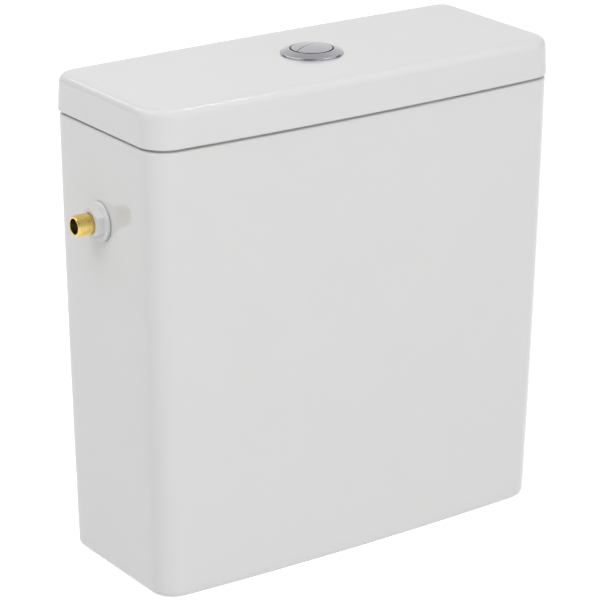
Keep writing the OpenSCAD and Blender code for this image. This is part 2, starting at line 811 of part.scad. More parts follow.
// Cap of the tower with the tube guide, the strap slots and the lever cheeks
module valve_head() {
  spigot_r = tower_d / 2 - tower_wall - plug_gap;
  spigot_wall = 3;
  spigot_h = 6;
  color("whitesmoke") turned()
    difference() {
      union() {
        translate([0, 0, head_z]) cylinder(d = tower_d, h = head_t);
        ring(spigot_r, spigot_r - spigot_wall, head_z - spigot_h, spigot_h + eps);
        for (y = [full_pivot_y, half_pivot_y])
          for (side = [-1, 1])
            upright(side * (cheek_in + cheek_out) / 2, cheek_t) cheek_outline(y);
      }
      translate([0, 0, head_z - eps]) cylinder(r = overflow_r + slide_gap, h = head_t + 2 * eps);
      for (side = [-1, 1])
        translate([side * (strap_in + strap_out) / 2, 0, head_z + head_t / 2])
          cube([strap_t + 2 * slide_gap, strap_w + 2 * slide_gap, head_t + 2 * eps], center = true);
      for (y = [full_pivot_y, half_pivot_y])
        upright(0, 2 * cheek_out + 2 * eps) translate([y, pivot_z]) circle(lever_pin_r + plug_gap);
    }
}

// Sleeve that carries the main seal below and the half-flush seat on its top rim
module lifting_sleeve() {
  nose_h = 4;
  foot_r = main_seal_d / 2 - 1;
  foot_t = 2;
  flare_h = 8;
  pad_h = 28;
  pad_in = sleeve_r - sleeve_wall / 2;
  pad_low = sleeve_top_z - pad_h - 2;
  color("lightblue") turned() {
    rotate_extrude()
      polygon([
        [sleeve_bore_r, seat_z - nose_h], [sleeve_nose_r, seat_z - nose_h], [sleeve_nose_r, sleeve_z],
        [foot_r, sleeve_z], [foot_r, sleeve_z + foot_t], [sleeve_r, sleeve_z + flare_h],
        [sleeve_r, sleeve_top_z], [sleeve_bore_r, sleeve_top_z]
      ]);
    for (side = [0, 180])
      rotate(side) {
        translate([pad_in, -strap_w / 2, pad_low]) cube([strap_out - pad_in, strap_w, pad_h]);
        translate([strap_in, -strap_w / 2, pad_low + pad_h / 2])
          cube([strap_t, strap_w, full_yoke_z - pad_low - pad_h / 2]);
      }
  }
}

module main_seal() {
  color("dimgray") ring(main_seal_d / 2, sleeve_nose_r + plug_gap, seat_z + seal_gap, seal_t);
}

// Arm and hook of a lifting yoke, drawn towards +Y from the tube to over the lever's outer end
module hook_outline(yoke_z, nose_y) {
  root = yoke_bore_r + yoke_wall / 2;
  inside = nose_y + lever_nose_r + hook_room;
  top = hook_z + yoke_t;
  polygon([
    [root, yoke_z], [inside + yoke_t, yoke_z], [inside + yoke_t, top],
    [nose_y - lever_nose_r, top], [nose_y - lever_nose_r, hook_z], [inside, hook_z],
    [inside, yoke_z + yoke_t], [root, yoke_z + yoke_t]
  ]);
}

// Yoke on the sleeve's straps, hooked over the full-flush lever
module full_lift_yoke() {
  lug_x = strap_out + 2;
  lug_w = strap_w + 1;
  color("lightblue") turned()
    difference() {
      union() {
        translate([0, 0, full_yoke_z]) cylinder(r = yoke_bore_r + yoke_wall, h = yoke_t);
        translate([-lug_x, -lug_w / 2, full_yoke_z]) cube([2 * lug_x, lug_w, yoke_t]);
        upright(0, yoke_w) mirror([1, 0]) hook_outline(full_yoke_z, full_arm - full_pivot_y);
      }
      translate([0, 0, full_yoke_z - eps]) cylinder(r = yoke_bore_r, h = yoke_t + 2 * eps);
    }
}

// Overflow tube with the half-flush seal's flange and the fins that guide it in the sleeve
module overflow_tube() {
  guide_h = 30;
  low = sleeve_top_z - guide_h;
  fin_r = sleeve_bore_r - slide_gap;
  fin_t = 2;
  root_r = overflow_r - overflow_wall / 2;
  seal_top = sleeve_top_z + seal_gap + seal_t;
  flange_t = 2;
  flare_h = 9;
  color("lightyellow") turned()
    difference() {
      union() {
        translate([0, 0, low]) cylinder(r = overflow_r, h = overflow_top_z - low);
        rotate_extrude()
          polygon([
            [root_r, seal_top], [half_seal_r, seal_top], [half_seal_r, seal_top + flange_t],
            [overflow_r, seal_top + flare_h], [root_r, seal_top + flare_h]
          ]);
        for (a = [45:90:315])
          rotate(a) translate([root_r, -fin_t / 2, low]) cube([fin_r - root_r, fin_t, guide_h - fin_t]);
      }
      translate([0, 0, low - eps])
        cylinder(r = overflow_r - overflow_wall, h = overflow_top_z - low + 2 * eps);
    }
}

module half_seal() {
  color("dimgray") ring(half_seal_r, overflow_r + plug_gap, sleeve_top_z + seal_gap, seal_t);
}

// Yoke clipped round the overflow tube, hooked over the half-flush lever
module half_lift_yoke() {
  color("lightyellow") turned()
    difference() {
      union() {
        translate([0, 0, half_yoke_z]) cylinder(r = yoke_bore_r + yoke_wall, h = yoke_t);
        upright(0, yoke_w) hook_outline(half_yoke_z, half_arm + half_pivot_y);
      }
      translate([0, 0, half_yoke_z - eps]) cylinder(r = overflow_r + plug_gap, h = yoke_t + 2 * eps);
    }
}

// Equal-armed rocker with rounded ends, its inner end raised at rest
module lever(pivot_y, arm, tilt, inward) {
  turned()
    upright(0, lever_w)
      translate([pivot_y, pivot_z]) rotate(inward * tilt)
        difference() {
          union() {
            circle(lever_hub_r);
            for (side = [-1, 1])
              translate([side * arm, 0]) circle(lever_nose_r);
            square([2 * arm, lever_t], center = true);
          }
          circle(lever_pin_r + pin_gap);
        }
}

module full_flush_lever() { color("lightblue") lever(full_pivot_y, full_arm, full_tilt, 1); }

module half_flush_lever() { color("lightyellow") lever(half_pivot_y, half_arm, half_tilt, -1); }

module lever_pins() {
  color("silver") turned()
    for (y = [full_pivot_y, half_pivot_y])
      upright(0, 2 * (cheek_out + pin_out)) translate([y, pivot_z]) circle(lever_pin_r);
}

// Brass tail: free thread outside, neck through the nut and the wall, shoulder and spigot inside
module inlet_tail() {
  bore = inlet_bore_d / 2;
  thread_r = inlet_d / 2;
  neck_r = inlet_neck_d / 2;
  end = inlet_seat + inlet_len;
  color([0.8, 0.66, 0.32]) on_inlet()
    rotate_extrude()
      polygon([
        [bore, shoulder_in - inlet_spigot_len], [inlet_spigot_d / 2, shoulder_in - inlet_spigot_len],
        [inlet_spigot_d / 2, shoulder_in], [inlet_shoulder_d / 2, shoulder_in],
        [inlet_shoulder_d / 2, shoulder_out], [neck_r, shoulder_out], [neck_r, inlet_seat + inlet_nut_h],
        [thread_r, inlet_seat + inlet_nut_h], [thread_r, end - inlet_chamfer],
        [thread_r - inlet_chamfer, end], [bore + inlet_chamfer / 2, end], [bore, end - inlet_chamfer / 2]
      ]);
}

module inlet_nut() {
  color("white") on_inlet()
    difference() {
      union() {
        translate([0, 0, inlet_seat]) cylinder(d = inlet_flange_d, h = inlet_flange_t);
        hex(inlet_nut_af, inlet_seat, inlet_nut_h);
      }
      translate([0, 0, inlet_seat - eps])
        cylinder(d = inlet_neck_d + 2 * plug_gap, h = inlet_nut_h + 2 * eps);
    }
}

module inlet_washer() {
  color("dimgray") on_inlet()
    ring(inlet_shoulder_d / 2, inlet_neck_d / 2 + plug_gap, shoulder_out, inlet_washer_t);
}

// Strainer pushed into the brass tail, with a tab to pull it out by
module inlet_strainer() {
  rim = inlet_bore_d / 2 - plug_gap;
  mouth = inlet_seat + inlet_len - 9;
  low = mouth - 16;
  lip_h = 2;
  step = 1;
  skin = 0.8;
  tab_t = 1.2;
  tab_w = rim * 2 / 3;
  color("lightgray") on_inlet() {
    rotate_extrude()
      polygon([
        [0, low], [rim - 2 * step, low], [rim - step, mouth - lip_h], [rim, mouth - lip_h], [rim, mouth],
        [rim - step - skin, mouth], [rim - 2 * step - skin, low + skin], [0, low + skin]
      ]);
    translate([-tab_w / 2, -tab_t / 2, low + skin / 2]) cube([tab_w, tab_t, mouth + lip_h - low]);
  }
}

// Barrel with the inlet socket, the head's flange and the socket of the discharge tube
module fill_valve_body() {
  color("whitesmoke")
    difference() {
      union() {
        on_inlet() {
          translate([0, 0, barrel_end]) cylinder(d = barrel_d, h = barrel_len);
          translate([0, 0, flange_end]) cylinder(d = fill_head_d, h = fill_flange_t + eps);
        }
        translate([discharge_x, inlet_y, socket_z]) cylinder(r = socket_r, h = socket_drop);
      }
      on_inlet() {
        translate([0, 0, shoulder_in - inlet_spigot_len])
          cylinder(d = inlet_spigot_d + 2 * plug_gap, h = inlet_spigot_len + eps);
        translate([0, 0, flange_end - eps]) cylinder(d = waterway_d, h = barrel_len + fill_flange_t);
      }
      translate([discharge_x, inlet_y, socket_z - eps]) {
        cylinder(d = discharge_d + 2 * plug_gap, h = socket_depth + eps);
        cylinder(d = discharge_d - 2 * discharge_wall, h = socket_drop);
      }
    }
}

module diaphragm() {
  rim_in = 1;
  color("dimgray") on_inlet()
    translate([0, 0, cap_start]) cylinder(d = fill_head_d - 2 * rim_in, h = diaphragm_t);
}

// Cap with the two cheeks of the float arm and the pilot nozzle above it
module fill_valve_cap() {
  bevel = 3;
  cheek_r = 5;
  root_x = 4 - cap_start;
  root_z = inlet_z - 6;
  web_z = inlet_z - 13;
  nozzle_d = 5;
  nozzle_bore_d = 1.4;
  nozzle_bore_h = 6;
  nozzle_x = arm_pivot_x - pilot_out;
  nozzle_z = arm_pivot_z + pilot_high + push_gap;
  color("lightblue")
    difference() {
      union() {
        on_inlet()
          rotate_extrude()
            polygon([
              [0, cap_end], [fill_head_d / 2 - bevel, cap_end], [fill_head_d / 2, cap_end + bevel],
              [fill_head_d / 2, cap_start], [0, cap_start]
            ]);
        for (side = [-1, 1])
          upright_x(inlet_y + side * (arm_cheek_in + arm_cheek_t / 2), arm_cheek_t) {
            polygon([
              [arm_pivot_x - cheek_r, arm_pivot_z], [arm_pivot_x + cheek_r, arm_pivot_z],
              [arm_pivot_x + cheek_r, root_z], [root_x, root_z], [root_x, web_z]
            ]);
            translate([arm_pivot_x, arm_pivot_z]) circle(cheek_r);
          }
        translate([nozzle_x, inlet_y, nozzle_z]) cylinder(d = nozzle_d, h = root_z - nozzle_z);
      }
      upright_x(inlet_y, fill_head_d)
        translate([arm_pivot_x, arm_pivot_z]) circle(arm_pin_d / 2 + plug_gap);
      translate([nozzle_x, inlet_y, nozzle_z - eps]) cylinder(d = nozzle_bore_d, h = nozzle_bore_h);
    }
}

// Discharge tube, which also guides the float and stops it at the bottom
module discharge_tube() {
  stop_h = 4;
  stop_w = 4;
  low = socket_z - discharge_len;
  len = discharge_len + socket_depth;
  color("whitesmoke")
    translate([discharge_x, inlet_y, 0])
      difference() {
        union() {
          translate([0, 0, low]) cylinder(d = discharge_d, h = len);
          translate([0, 0, float_z - stop_h]) cylinder(d = discharge_d + 2 * stop_w, h = stop_h);
        }
        translate([0, 0, low - eps]) cylinder(d = discharge_d - 2 * discharge_wall, h = len + 2 * eps);
      }
}

// Float cup, open below, sliding on the discharge tube
module fill_float() {
  bore = discharge_d / 2 + slide_gap;
  rim = float_d / 2;
  top = float_z + float_h;
  bevel = 2;
  color("lightgray")
    difference() {
      translate([discharge_x, inlet_y, 0])
        rotate_extrude()
          polygon([
            [bore, float_z], [bore + float_wall, float_z], [bore + float_wall, top - float_wall],
            [rim - float_wall, top - float_wall], [rim - float_wall, float_z],
            [rim, float_z], [rim, top - bevel], [rim - bevel, top], [bore, top]
          ]);
      translate([link_x, inlet_y, top - 2 * float_wall])
        cylinder(d = rod_d + 2 * plug_gap, h = 3 * float_wall);
    }
}

// Adjusting screw that stands on the float and lifts the float arm
module float_link() {
  top = float_z + float_h;
  r = rod_d / 2;
  collar_r = r + 2;
  collar_h = 2;
  tip_r = 1.2;
  color("white")
    translate([link_x, inlet_y, 0])
      rotate_extrude()
        polygon([
          [0, top - float_wall], [r, top - float_wall], [r, top], [collar_r, top],
          [collar_r, top + collar_h], [r, top + collar_h], [r, link_top_z - r], [tip_r, link_top_z],
          [0, link_top_z]
        ]);
}

module on_float_arm() {
  translate([arm_pivot_x, 0, arm_pivot_z]) rotate([0, -arm_tilt, 0]) children();
}

module float_arm() {
  hub_out = 1;
  color("lightyellow") on_float_arm()
    upright_x(inlet_y, float_arm_w)
      difference() {
        union() {
          circle(float_arm_t / 2 + hub_out);
          translate([-float_arm_len, -float_arm_t / 2]) square([float_arm_len, float_arm_t]);
          translate([-float_arm_len, 0]) circle(float_arm_t / 2);
        }
        circle(arm_pin_d / 2 + pin_gap);
      }
}

module float_arm_pin() {
  color("silver")
    upright_x(inlet_y, 2 * (arm_cheek_in + arm_cheek_t + pin_out))
      translate([arm_pivot_x, arm_pivot_z]) circle(arm_pin_d / 2);
}

// Soft pad on the float arm that closes the pilot nozzle when the tank is full
module pilot_seal() {
  color("dimgray") on_float_arm()
    translate([-pilot_out, inlet_y, float_arm_t / 2]) cylinder(r = pilot_r, h = pilot_t);
}

// Two bolts that hang through the floor, with a plain neck down to the nut and free thread below
module coupling_bolts() {
  head_z = floor_top + bolt_seal_t;
  nut_low = skirt_h - bolt_washer_t - bolt_nut_h;
  thread_r = bolt_d / 2;
  chamfer = 1;
  head_edge = 1.5;
  color("silver") at_bolts()
    rotate_extrude()
      polygon([
        [0, bolt_clear], [thread_r - chamfer, bolt_clear], [thread_r, bolt_clear + chamfer],
        [thread_r, nut_low], [bolt_neck_d / 2, nut_low], [bolt_neck_d / 2, head_z],
        [bolt_head_d / 2, head_z], [bolt_head_d / 2, head_z + head_edge],
        [bolt_head_d / 4, head_z + bolt_head_h], [0, head_z + bolt_head_h]
      ]);
}

module bolt_seals() {
  color("dimgray") at_bolts() ring(bolt_seal_d / 2, bolt_neck_d / 2 + plug_gap, floor_top, bolt_seal_t);
}

module bolt_washers() {
  color("silver") at_bolts()
    ring(bolt_washer_d / 2, bolt_neck_d / 2 + plug_gap, skirt_h - bolt_washer_t, bolt_washer_t);
}

module bolt_nuts() {
  low = skirt_h - bolt_washer_t - bolt_nut_h;
  color("silver") at_bolts()
    difference() {
      hex(bolt_nut_af, low, bolt_nut_h);
      translate([0, 0, low - eps]) cylinder(d = bolt_neck_d + 2 * plug_gap, h = bolt_nut_h + 2 * eps);
    }
}

tank();
lid();
bezel();
bezel_gasket();
bezel_nut();
full_flush_button();
half_flush_button();
full_push_rod();
half_push_rod();
full_button_spring();
half_button_spring();
valve_base();
base_seal();
outlet_nut();
pan_seal_ring();
valve_tower();
valve_head();
lifting_sleeve();
main_seal();
full_lift_yoke();
overflow_tube();
half_seal();
half_lift_yoke();
full_flush_lever();
half_flush_lever();
lever_pins();
inlet_tail();
inlet_nut();
inlet_washer();
inlet_strainer();
fill_valve_body();
diaphragm();
fill_valve_cap();
discharge_tube();
fill_float();
float_link();
float_arm();
float_arm_pin();
pilot_seal();
coupling_bolts();
bolt_seals();
bolt_washers();
bolt_nuts();
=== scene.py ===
import math

import bmesh
import bpy
from mathutils import Matrix, Vector


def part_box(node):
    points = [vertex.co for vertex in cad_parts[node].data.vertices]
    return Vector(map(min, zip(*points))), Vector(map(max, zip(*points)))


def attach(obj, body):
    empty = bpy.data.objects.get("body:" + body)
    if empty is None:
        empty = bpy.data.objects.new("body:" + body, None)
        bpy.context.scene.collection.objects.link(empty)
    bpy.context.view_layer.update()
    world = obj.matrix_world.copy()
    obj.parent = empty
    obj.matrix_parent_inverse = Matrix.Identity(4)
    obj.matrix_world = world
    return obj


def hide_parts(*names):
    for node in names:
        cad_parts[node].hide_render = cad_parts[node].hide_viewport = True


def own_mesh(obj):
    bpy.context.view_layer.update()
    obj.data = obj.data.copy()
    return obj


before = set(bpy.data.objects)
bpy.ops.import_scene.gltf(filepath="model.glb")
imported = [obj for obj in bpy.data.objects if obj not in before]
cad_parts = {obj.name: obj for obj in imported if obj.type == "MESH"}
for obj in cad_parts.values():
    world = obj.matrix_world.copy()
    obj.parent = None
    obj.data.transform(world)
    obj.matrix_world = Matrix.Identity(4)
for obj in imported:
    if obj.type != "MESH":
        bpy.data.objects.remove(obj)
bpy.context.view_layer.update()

MM = 0.001
UP = Vector((0, 0, 1))
MERGE = 1e-6
SHARP = math.radians(38)
TURN_STEPS = 96
ROUND_SEGMENTS = 5

# Ceramic tank
TANK_H = 363.2 * MM
SIDE_TAPER = 6 * MM
FRONT_TAPER = 8 * MM
SWELL = 0.8 * MM
WALL = 9 * MM
SKIRT_H = 36 * MM
SKIRT_T = 12 * MM
RECESS_R = 4 * MM
BOTTOM_EDGE_R = 5.7 * MM
MOUTH_EDGE_R = 1.8 * MM
REBATE_DROP = 2.9 * MM
REBATE_W = 5 * MM
RIM_R = 0.8 * MM
FLOOR_Z = 47 * MM
FLOOR_R = 10 * MM

# Ceramic lid
LID_HALF_W = 187.5 * MM
LID_HALF_D = 75.75 * MM
LID_H = 28.9 * MM
LID_DRAFT = 1.2 * MM
LID_CROWN = 0.9 * MM
LID_EDGE_R = 7.5 * MM
LID_FOOT_R = 1.2 * MM
LID_FOOT_DROP = 0.9 * MM
LID_FOOT_W = 4 * MM
LID_UNDER_Z = 382.1 * MM
LID_HOLE_R = 19.15 * MM
OVERHANG = 1.15 * MM
LIP_INSET = 12.15 * MM
LIP_H = 7 * MM
LIP_T = 7 * MM
LIP_R = 1 * MM
HOLLOW_R = 3.5 * MM

# Plan of both ceramics, and the loops that make their skins
FRONT_CORNER_R = 21.7 * MM
BACK_CORNER_R = 13.9 * MM
LEAST_CORNER_R = 3 * MM
BOW_R = 3057 * MM
BESIDE = 1 * MM  # from a round's end to the loop that keeps the wall next to it flat
ROUND_STEPS = 6
CORNER_STEPS = 8
LONG_CUTS = 23
SHORT_CUTS = 7
LOOP_STEPS = 4 * CORNER_STEPS + 2 * (LONG_CUTS + 1) + 2 * (SHORT_CUTS + 1)
WALL_STEPS = 14
TOP_CUTS = 10

# Push button: bezel, two buttons and their springs
VALVE_TURN = Matrix.Rotation(math.radians(20), 4, "Z")
LID_TOP_Z = 393 * MM
SHANK_LOW_Z = 363 * MM
SHANK_FLOOR_Z = 365 * MM
SHANK_R = 18.55 * MM
BEZEL_R = 24.5 * MM
BEZEL_BORE_R = 17.05 * MM
BEZEL_H = 4 * MM
BEZEL_RIM_H = 1.5 * MM
BEZEL_RIM_R = 1 * MM
BEZEL_LAND = 1.2 * MM
BEZEL_ROUND = 0.25 * MM
ROD_HOLE_R = 2.9 * MM
ROD_HOLE_STEPS = 48
FULL_ROD_Y = -5.55 * MM
HALF_ROD_Y = 10.55 * MM
BUTTON_R = 16.1 * MM
BUTTON_LOW_Z = 385.4 * MM
BUTTON_EDGE_Z = 397.4 * MM
BUTTON_DOME = 0.8 * MM
BUTTON_ROUND = 0.2 * MM
BUTTON_CORNER_R = 0.8 * MM
BUTTON_RINGS = 6
BUTTON_RIM_STEPS = 72
SPLIT_OFFSET = 5 * MM
SPLIT_R = 50 * MM
SPLIT_GAP = 0.5 * MM
SPLIT_STEPS = 24
SPRING_R = 3.7 * MM
SPRING_END = 0.5 * MM
SPRING_CURLS = 6
CURL_STEPS = 24
WIRE_R = 0.4 * MM
WIRE_STEPS = 16

# Water inlet: tail and nut, turned about Z and then laid along the inlet's own axis
INLET_Y = 9.6 * MM
INLET_Z = 290 * MM
INLET = Matrix(((0, 0, -1, 0), (0, 1, 0, INLET_Y), (1, 0, 0, INLET_Z), (0, 0, 0, 1)))
INLET_SEAT = 185.457 * MM
INLET_END = 208.957 * MM
INLET_R = 8.33 * MM
INLET_NECK_R = 8.1 * MM
INLET_BORE_R = 6 * MM
INLET_CHAMFER = 1 * MM
SHOULDER_R = 14 * MM
SHOULDER_T = 4 * MM
SPIGOT_R = 8.5 * MM
SPIGOT_LEN = 10 * MM
THREAD_PITCH = 1.337 * MM
THREAD_DEPTH = 0.3 * MM
THREAD_FOOT = 0.48  # half widths of the ridge, as shares of the pitch
THREAD_CREST = 0.1
NUT_H = 10 * MM
NUT_AF = 22 * MM
NUT_BORE_R = 8.15 * MM
NUT_CHAMFER = 0.8 * MM
NUT_SIDES = 6
FLANGE_R = 15.5 * MM
FLANGE_T = 3.4 * MM
FLANGE_LIFT = 1 * MM
FLANGE_FOOT = 2 * MM
EDGE_ROUND = 0.4 * MM

# Tones of the finishes, dark to light
GLAZE_TONES = ((0.735, 0.737, 0.735), (0.755, 0.755, 0.75))
GLAZE_SPECK = (0.55, 0.52, 0.47, 1)
CLAY_TONES = ((0.62, 0.59, 0.53), (0.74, 0.72, 0.67))
CHROME_TONES = ((0.365, 0.365, 0.39), (0.41, 0.41, 0.435))
BRASS_TONES = ((0.62, 0.455, 0.135), (0.665, 0.49, 0.155), (0.71, 0.53, 0.185))
# Painted shade: the inside of the brass tail's bore is coloured dark, standing in for the shade down the hole
BRASS_BORE_SHADE = (0.3, 0.29, 0.17, 1)
WHITE_PLASTIC_TONES = ((0.71, 0.711, 0.715), (0.78, 0.781, 0.785))
GREY_PLASTIC_TONES = ((0.30, 0.31, 0.32), (0.38, 0.39, 0.40))
BLUE_PLASTIC_TONES = ((0.05, 0.16, 0.42), (0.08, 0.22, 0.52))
RUBBER_TONES = ((0.018, 0.018, 0.02), (0.05, 0.05, 0.052))
FOAM_TONES = ((0.07, 0.07, 0.075), (0.2, 0.2, 0.21))
PLATED_TONES = ((0.42, 0.43, 0.45), (0.6, 0.61, 0.63))
WIRE_TONES = ((0.33, 0.33, 0.34), (0.55, 0.55, 0.56))

# Relief of the finishes
GLAZE_RELIEF = 0.4 * MM
CLAY_RELIEF = 0.2 * MM
CHROME_RELIEF = 0.01 * MM
BRASS_RELIEF = 0.02 * MM
PLASTIC_RELIEF = 0.03 * MM
RUBBER_RELIEF = 0.06 * MM
FOAM_RELIEF = 0.4 * MM
PLATED_RELIEF = 0.02 * MM
WIRE_RELIEF = 0.02 * MM
# Width over which the painted shade inside the brass bore fades in
BORE_SHADE_BLEND = 0.4 * MM

# Camera
CAMERA_AT = Vector((-1.2038, -1.72575, 0.9622))
CAMERA_TO = Vector((0, -0.00425, 0.19))
LENS_LENGTH = 169.7
SENSOR_WIDTH = 36
LENS_SHIFT = (-0.0247, 0.0045)

# Floor and room
WHITE = (1, 1, 1, 1)
FLOOR_PAPER = (0.8, 0.8, 0.8, 1)
FLOOR_SIZE = 12
FLOOR_DROP = 0.2 * MM
FLOOR_GLOW = 0.8
FILL_LIGHT = 0.485
CEILING_TONES = ((1, 1, 1), (0.85, 0.85, 0.85))
CEILING_FROM, CEILING_TO = 0.66, 0.8
DARK_SIDE = (0.2, 0.2, 0.2, 1)
# Where metal mirrors a dark side of the room: direction, and cosines at its edge and its middle
DARK_SIDES = (
    ((-0.6, -0.55, 0.58), 0.78, 0.97),
    ((-0.5, 0.86, 0.12), 0.955, 0.985),
    ((0.95, -0.18, 0.22), 0.94, 0.98),
)
# Name, place, aim, width and height, power, and whether metal mirrors it
SOFTBOXES = (
    ("key_softbox", (-1.32, -0.72, 2.17), (0, 0, 0.3), (1.4, 1.4), 18.4, False),
    ("front_softbox", (0.6, -2.6, 0.6), (0, 0, 0.2), (1.2, 1.2), 17.3, False),
    ("left_softbox", (-0.95, 1.25, 1.9), (0.05, 1.25, 0.3), (2.9, 0.28), 8, True),
    ("rim_softbox", (1.3, -0.25, 2.28), (1.3, -0.04, 0.39), (1.1, 0.15), 1.5, True),
    ("rim_lamp", (0.87, -0.25, 2.27), (0.87, -0.04, 0.39), (0.25, 0.15), 1.4, True),
    ("low_rim_softbox", (1.3, -1.5, 1.7), (1.3, -0.04, 0.39), (1.1, 0.15), 1.4, True),
)


class Shade:
    """A shader socket; sums on it add their Math nodes."""

    def __init__(self, tree, socket=None):
        self.tree = tree
        self.socket = socket

    def node(self, kind, settings, inputs, output=None):
        """Adds a node, settings first, and gives its output of that name, or its first one."""
        made = self.tree.nodes.new(kind)
        for name, value in settings.items():
            if name == "stops":
                stops = made.color_ramp.elements
                while len(stops) < len(value):
                    stops.new(1)
                for stop, (at, colour) in zip(stops, value):
                    stop.position = at
                    stop.color = (*colour, 1)
            else:
                setattr(made, name, value)
        for name, value in inputs.items():
            if isinstance(name, int):
                target = made.inputs[name]
            else:
                target = next(s for s in made.inputs if s.enabled and s.name == name)
            if isinstance(value, Shade):
                self.tree.links.new(value.socket, target)
            else:
                target.default_value = value
        outputs = [s for s in made.outputs if s.enabled and output in (None, s.name)]
        return Shade(self.tree, outputs[0] if outputs else None)

    def sum(self, operation, first, second):
        return self.node("ShaderNodeMath", {"operation": operation}, {0: first, 1: second})

    def __add__(self, other):
        return self.sum("ADD", self, other)

    def __radd__(self, other):
        return self.sum("ADD", other, self)

    def __mul__(self, other):
        return self.sum("MULTIPLY", self, other)

    def __rmul__(self, other):
        return self.sum("MULTIPLY", other, self)


def cloud(place, scale, detail=3):
    """Soft patches, about 1 / scale metres across."""
    return place.node("ShaderNodeTexNoise", {}, {"Vector": place, "Scale": scale, "Detail": detail}, "Fac")


def cells(place, scale, output="Distance"):
    """Many scattered cells: the distance from the nearest one's middle, or a "Color" for each."""
    return place.node("ShaderNodeTexVoronoi", {}, {"Vector": place, "Scale": scale}, output)


def stretched(place, scale):
    """The same place, drawn out along the axes with the small numbers."""
    return place.node("ShaderNodeMapping", {}, {"Vector": place, "Scale": scale})


def between(mask, low, high):
    """0 below low and 1 above high."""
    return mask.node("ShaderNodeMapRange", {}, {"Value": mask, "From Min": low, "From Max": high})


def tinted(mask, colours):
    """A colour that runs through the given ones as the mask goes from 0 to 1."""
    last = len(colours) - 1
    stops = [(i / last, colour) for i, colour in enumerate(colours)]
    return mask.node("ShaderNodeValToRGB", {"stops": stops}, {"Fac": mask})


def mixed(first, second, mask):
    """The first colour where the mask is 0, the second where it is 1."""
    return mask.node("ShaderNodeMix", {"data_type": "RGBA"}, {"Factor": mask, "A": first, "B": second})


def raised(height, depth):
    """A normal for a surface that stands up to depth metres proud."""
    return height.node("ShaderNodeBump", {}, {"Strength": 1, "Distance": depth, "Height": height})


def blank_nodes(owner):
    """Empties the nodes of a material or world, and gives a Shade to add new ones with."""
    owner.use_nodes = True
    owner.node_tree.nodes.clear()
    return Shade(owner.node_tree)


def new_finish(name, dress):
    """A material whose surface takes its sockets from dress(place)."""
    material = bpy.data.materials.new(name)
    place = blank_nodes(material).node("ShaderNodeTexCoord", {}, {}, "Object")
    surface = place.node("ShaderNodeBsdfPrincipled", {}, dress(place))
    surface.node("ShaderNodeOutputMaterial", {}, {"Surface": surface})
    return material


def glaze(place):
    pool = cloud(place, 11)
    specks = between(cells(place, 95), 0.05, 0.03) * between(cloud(place, 23), 0.56, 0.6)
    waves = cloud(place, 16, 1) + 0.03 * cloud(place, 420, 1)
    return {
        "Base Color": mixed(tinted(pool, GLAZE_TONES), GLAZE_SPECK, 0.35 * specks),
        "Roughness": 0.07 + 0.08 * cloud(place, 37),
        "Specular IOR Level": 0.38,
        "Normal": raised(waves, GLAZE_RELIEF),
    }


def bare_clay(place):
    grain = cloud(place, 900, 4)
    return {
        "Base Color": tinted(0.6 * cloud(place, 30) + 0.4 * grain, CLAY_TONES),
        "Roughness": 0.7 + 0.2 * grain,
        "Normal": raised(grain, CLAY_RELIEF),
    }


def chrome(place):
    smear = cloud(place, 120, 4)
    hairs = cloud(stretched(place, (900, 60, 60)), 1, 2) * cloud(stretched(place, (70, 1100, 70)), 1, 2)
    return {
        "Base Color": tinted(smear, CHROME_TONES),
        "Metallic": 1.0,
        "Roughness": 0.07 + 0.07 * smear + 0.05 * hairs,
        "Normal": raised(hairs, CHROME_RELIEF),
    }


def brass(place):
    rings = cloud(stretched(place, (2600, 30, 30)), 1, 2)
    stain = cloud(place, 140, 4)
    gold = tinted(0.7 * stain + 0.3 * rings, BRASS_TONES)
    off_axis = place.node(
        "ShaderNodeVectorMath", {"operation": "SUBTRACT"}, {0: place, 1: INLET.translation})
    across = stretched(off_axis, (0, 1, 1))
    from_axis = across.node("ShaderNodeVectorMath", {"operation": "LENGTH"}, {0: across}, "Value")
    # Painted shade: the base colour turns dark inside the bore, standing in for the shade down the hole
    bore_shade = between(from_axis, INLET_BORE_R + BORE_SHADE_BLEND, INLET_BORE_R)
    return {
        "Base Color": mixed(gold, BRASS_BORE_SHADE, 0.8 * bore_shade),
        "Metallic": 1.0,
        "Roughness": 0.24 + 0.1 * stain,
        "Normal": raised(rings, BRASS_RELIEF),
    }


def moulded(tones):
    """Dress for a moulded plastic in the given tones."""

    def dress(place):
        grain = cloud(place, 1500, 2)
        flow = cloud(stretched(place, (45, 45, 12)), 1, 3)
        return {
            "Base Color": tinted(0.8 * flow + 0.2 * grain, tones),
            "Roughness": 0.3 + 0.14 * flow,
            "Normal": raised(grain, PLASTIC_RELIEF),
        }

    return dress


def rubber(place):
    bloom = cloud(place, 70, 4)
    grain = cloud(place, 1800, 2)
    return {
        "Base Color": tinted(bloom, RUBBER_TONES),
        "Roughness": 0.55 + 0.25 * bloom,
        "Normal": raised(grain, RUBBER_RELIEF),
    }


def foam(place):
    pores = cells(place, 900)
    return {
        "Base Color": tinted(pores, FOAM_TONES),
        "Roughness": 0.75 + 0.2 * pores,
        "Normal": raised(pores, FOAM_RELIEF),
    }


def plated_steel(place):
    flakes = between(cells(place, 420, "Color"), 0, 1)
    dull = cloud(place, 160, 4)
    return {
        "Base Color": tinted(0.5 * flakes + 0.5 * dull, PLATED_TONES),
        "Metallic": 1.0,
        "Roughness": 0.26 + 0.2 * dull,
        "Normal": raised(flakes, PLATED_RELIEF),
    }


def spring_wire(place):
    drawn = cloud(stretched(place, (1800, 1800, 260)), 1, 2)
    return {
        "Base Color": tinted(drawn, WIRE_TONES),
        "Metallic": 1.0,
        "Roughness": 0.2 + 0.2 * drawn,
        "Normal": raised(drawn, WIRE_RELIEF),
    }


